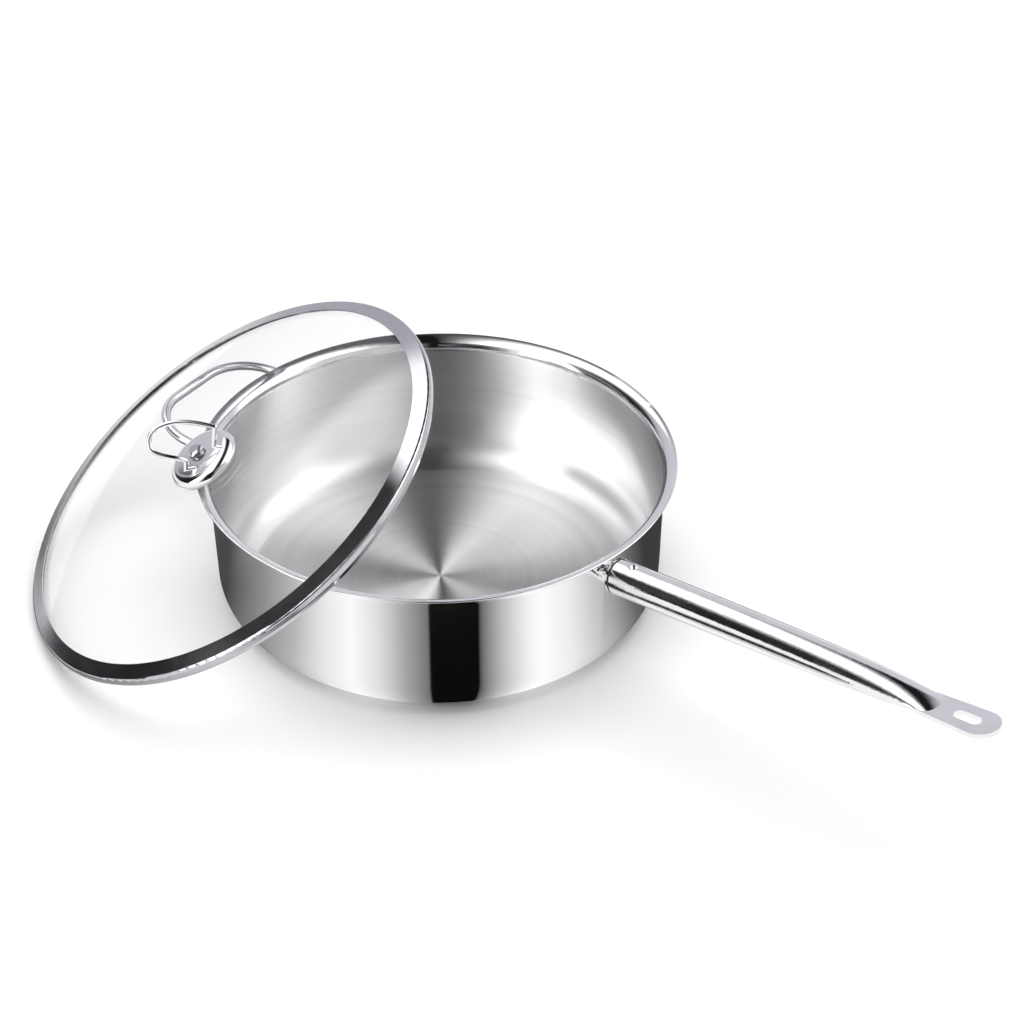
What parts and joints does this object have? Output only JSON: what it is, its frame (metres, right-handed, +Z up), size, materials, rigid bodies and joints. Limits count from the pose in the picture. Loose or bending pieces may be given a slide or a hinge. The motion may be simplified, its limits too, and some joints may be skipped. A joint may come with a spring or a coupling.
{
  "type": "saucepan with glass lid",
  "caption": "Shallow straight-sided steel pan with a flared lip, a long tubular handle, a wire helper handle and a domed glass lid with a steel band and a wire knob, leaning on its rim.",
  "frame": {"origin": "centre of the pan's flat underside", "axes": "+Z up along the pan's axis, +X along the long handle"},
  "size_m": [0.5518, 0.3212, 0.139],
  "materials": {
    "polished_steel": "mirror polished outside, satin spun inside",
    "base_aluminium": "plain",
    "base_steel": "spun",
    "handle_steel": "polished",
    "black_silicone": "matte",
    "wire_steel": "polished",
    "clear_glass": "clear, polished",
    "band_steel": "polished",
    "seal_silicone": "translucent matte",
    "fastener_steel": "plain",
    "knob_chrome": "mirror"
  },
  "bodies": {
    "pan": {"pan_shell": "polished_steel", "base_core_disc": "base_aluminium", "base_cap": "base_steel", "handle_stem": "handle_steel", "handle_ring": "black_silicone", "handle_tube": "handle_steel", "handle_pin": "handle_steel", "helper_pads": "wire_steel", "helper_wire": "wire_steel"},
    "lid": {"lid_glass": "clear_glass", "lid_band": "band_steel", "lower_gasket": "seal_silicone", "lower_washer": "fastener_steel", "glass_bush": "seal_silicone", "upper_gasket": "seal_silicone", "knob_dish": "knob_chrome", "knob_spacer": "fastener_steel", "lock_washer": "fastener_steel", "knob_nut": "fastener_steel", "knob_screw": "fastener_steel", "knob_loop": "knob_chrome"}
  },
  "joints": [
    {"name": "lid_lift", "type": "slide", "parent": "pan", "child": "lid", "axis": [0, 0, 1], "range_m": [0, 0.12]}
  ]
}
